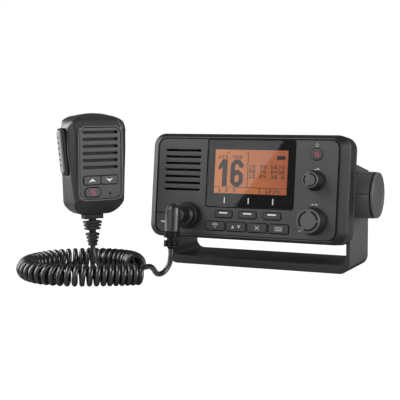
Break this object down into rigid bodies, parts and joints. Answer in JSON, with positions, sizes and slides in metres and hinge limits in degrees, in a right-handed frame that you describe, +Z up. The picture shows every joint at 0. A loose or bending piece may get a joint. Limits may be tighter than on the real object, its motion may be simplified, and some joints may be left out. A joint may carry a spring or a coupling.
{
  "type": "vhf marine radio",
  "caption": "Fixed-mount marine radio with a lit display, keys and two knobs, tilting in a U-bracket, with a handheld microphone on a curly cord.",
  "frame": {"origin": "centre of the bracket base's underside", "axes": "+X to the right seen from the front, -Y out of the front, +Z up"},
  "size_m": [0.2606, 0.2318, 0.1293],
  "materials": {
    "bezel_plastic": "satin",
    "panel_plastic": "satin",
    "bracket_plastic": "satin",
    "knob_plastic": "satin",
    "key_rubber": "matte",
    "soft_rubber": "matte",
    "cord_rubber": "satin",
    "window_acrylic": "gloss",
    "lcd_glass": "gloss",
    "diffuser": "satin",
    "circuit_board": "satin",
    "speaker_cloth": "matte",
    "basket_steel": "satin",
    "paper_cone": "matte",
    "encoder_body": "satin",
    "cover_plastic": "satin",
    "red_key": "satin",
    "cast_chassis": "satin",
    "stainless": "satin",
    "brass_insert": "satin",
    "tin_shield": "satin",
    "connector_nickel": "gloss",
    "washer_fibre": "matte",
    "ptt_rubber": "matte",
    "mic_plastic": "satin"
  },
  "bodies": {
    "bracket": {"bracket": "bracket_plastic", "cord_coil": "cord_rubber", "cord_tail_plug": "cord_rubber", "cord_tail_mic": "cord_rubber"},
    "radio": {"front_bezel": "bezel_plastic", "face_panel": "panel_plastic", "front_gasket": "soft_rubber", "display_window": "window_acrylic", "lcd_panel": "lcd_glass", "lcd_backlight": "diffuser", "display_board": "circuit_board", "keypad_mat": "soft_rubber", "speaker_cloth": "speaker_cloth", "speaker_basket": "basket_steel", "speaker_cone": "paper_cone", "rotary_encoders": "encoder_body", "mic_socket": "encoder_body", "plug_body": "soft_rubber", "plug_boot": "soft_rubber", "rear_chassis": "cast_chassis", "chassis_screws": "stainless", "pivot_inserts": "brass_insert", "friction_washers": "washer_fibre", "main_board": "circuit_board", "rf_shield": "tin_shield", "antenna_socket": "connector_nickel", "accessory_sockets": "encoder_body"},
    "soft_key_1": {"soft_key_1": "key_rubber"},
    "soft_key_2": {"soft_key_2": "key_rubber"},
    "soft_key_3": {"soft_key_3": "key_rubber"},
    "function_key_1": {"function_key_1": "key_rubber"},
    "function_key_2": {"function_key_2": "key_rubber"},
    "function_key_3": {"function_key_3": "key_rubber"},
    "function_key_4": {"function_key_4": "key_rubber"},
    "channel_key": {"channel_key": "key_rubber"},
    "distress_key": {"distress_key": "red_key"},
    "distress_cover": {"distress_cover": "cover_plastic"},
    "volume_shaft": {"volume_shaft": "stainless"},
    "volume_knob": {"volume_knob": "knob_plastic"},
    "select_shaft": {"select_shaft": "stainless"},
    "select_knob": {"select_knob": "knob_plastic"},
    "plug_lock_ring": {"plug_lock_ring": "knob_plastic"},
    "right_bracket_knob": {"bracket_knob_right": "knob_plastic", "knob_stud_right": "stainless"},
    "left_bracket_knob": {"bracket_knob_left": "knob_plastic", "knob_stud_left": "stainless"},
    "mic": {"mic_front_shell": "mic_plastic", "mic_back_shell": "mic_plastic", "mic_face_panel": "mic_plastic", "mic_speaker": "basket_steel", "mic_capsule": "stainless", "mic_board": "circuit_board", "mic_ptt_seal": "soft_rubber", "mic_hang_button": "stainless", "mic_screws": "stainless", "mic_boot": "soft_rubber"},
    "mic_up_key": {"mic_up_key": "key_rubber"},
    "mic_down_key": {"mic_down_key": "key_rubber"},
    "mic_channel_key": {"mic_channel_key": "key_rubber"},
    "mic_ptt_button": {"mic_ptt_button": "ptt_rubber"}
  },
  "joints": [
    {"name": "tilt", "type": "hinge", "parent": "bracket", "child": "radio", "pos_m": [0, -0.0084, 0.0628], "axis": [-1, 0, 0], "range_deg": [-7, 15], "deforming": ["cord_tail_plug"]},
    {"name": "soft_key_1_press", "type": "slide", "parent": "radio", "child": "soft_key_1", "axis": [0, 0.9923, -0.1236], "range_m": [0, 0.0007], "stiffness_N_per_m": 1500, "springref_m": -0.0006},
    {"name": "soft_key_2_press", "type": "slide", "parent": "radio", "child": "soft_key_2", "axis": [0, 0.9923, -0.1236], "range_m": [0, 0.0007], "stiffness_N_per_m": 1500, "springref_m": -0.0006},
    {"name": "soft_key_3_press", "type": "slide", "parent": "radio", "child": "soft_key_3", "axis": [0, 0.9923, -0.1236], "range_m": [0, 0.0007], "stiffness_N_per_m": 1500, "springref_m": -0.0006},
    {"name": "function_key_1_press", "type": "slide", "parent": "radio", "child": "function_key_1", "axis": [0, 0.9923, -0.1236], "range_m": [0, 0.0007], "stiffness_N_per_m": 1500, "springref_m": -0.0006},
    {"name": "function_key_2_press", "type": "slide", "parent": "radio", "child": "function_key_2", "axis": [0, 0.9923, -0.1236], "range_m": [0, 0.0007], "stiffness_N_per_m": 1500, "springref_m": -0.0006},
    {"name": "function_key_3_press", "type": "slide", "parent": "radio", "child": "function_key_3", "axis": [0, 0.9923, -0.1236], "range_m": [0, 0.0007], "stiffness_N_per_m": 1500, "springref_m": -0.0006},
    {"name": "function_key_4_press", "type": "slide", "parent": "radio", "child": "function_key_4", "axis": [0, 0.9923, -0.1236], "range_m": [0, 0.0007], "stiffness_N_per_m": 1500, "springref_m": -0.0006},
    {"name": "channel_key_press", "type": "slide", "parent": "radio", "child": "channel_key", "axis": [0, 0.9923, -0.1236], "range_m": [0, 0.0007], "stiffness_N_per_m": 1500, "springref_m": -0.0006},
    {"name": "distress_key_press", "type": "slide", "parent": "radio", "child": "distress_key", "axis": [0, 0.9923, -0.1236], "range_m": [0, 0.0007], "stiffness_N_per_m": 1500, "springref_m": -0.0006},
    {"name": "distress_cover_hinge", "type": "hinge", "parent": "radio", "child": "distress_cover", "pos_m": [-0.0688, -0.05343, 0.04573], "axis": [-1, 0, 0], "range_deg": [0, 95], "stiffness_Nm_per_rad": 0.004, "springref_deg": -22.92},
    {"name": "volume_push", "type": "slide", "parent": "radio", "child": "volume_shaft", "axis": [0, 0.9923, -0.1236], "range_m": [0, 0.0005], "stiffness_N_per_m": 2500, "springref_m": -0.0006},
    {"name": "volume_turn", "type": "hinge", "parent": "volume_shaft", "child": "volume_knob", "pos_m": [0.0594, -0.05699, 0.07722], "axis": [0, 0.9923, -0.1236], "continuous": true},
    {"name": "select_push", "type": "slide", "parent": "radio", "child": "select_shaft", "axis": [0, 0.9923, -0.1236], "range_m": [0, 0.0005], "stiffness_N_per_m": 2500, "springref_m": -0.0006},
    {"name": "select_turn", "type": "hinge", "parent": "select_shaft", "child": "select_knob", "pos_m": [0.0594, -0.0609, 0.04586], "axis": [0, 0.9923, -0.1236], "continuous": true},
    {"name": "lock_ring_turn", "type": "hinge", "parent": "radio", "child": "plug_lock_ring", "pos_m": [-0.0476, -0.05949, 0.04578], "axis": [0, 0.9923, -0.1236], "range_deg": [0, 90]},
    {"name": "right_knob_turn", "type": "hinge", "parent": "radio", "child": "right_bracket_knob", "pos_m": [0.09, -0.0084, 0.0628], "axis": [1, 0, 0], "range_deg": [0, 180]},
    {"name": "left_knob_turn", "type": "hinge", "parent": "radio", "child": "left_bracket_knob", "pos_m": [-0.09, -0.0084, 0.0628], "axis": [1, 0, 0], "range_deg": [0, 180]},
    {"name": "mic_lift", "type": "slide", "parent": "bracket", "child": "mic", "axis": [0, 0, 1], "range_m": [0, 0.05], "deforming": ["cord_tail_mic"]},
    {"name": "mic_up_key_press", "type": "slide", "parent": "mic", "child": "mic_up_key", "axis": [-0.8517, 0.524, 0], "range_m": [0, 0.0006], "stiffness_N_per_m": 1500, "springref_m": -0.0006},
    {"name": "mic_down_key_press", "type": "slide", "parent": "mic", "child": "mic_down_key", "axis": [-0.8517, 0.524, 0], "range_m": [0, 0.0006], "stiffness_N_per_m": 1500, "springref_m": -0.0006},
    {"name": "mic_channel_key_press", "type": "slide", "parent": "mic", "child": "mic_channel_key", "axis": [-0.8517, 0.524, 0], "range_m": [0, 0.0006], "stiffness_N_per_m": 1500, "springref_m": -0.0006},
    {"name": "ptt_press", "type": "slide", "parent": "mic", "child": "mic_ptt_button", "axis": [0.5217, 0.848, 0.0938], "range_m": [0, 0.0012], "stiffness_N_per_m": 1200, "springref_m": -0.0012}
  ]
}
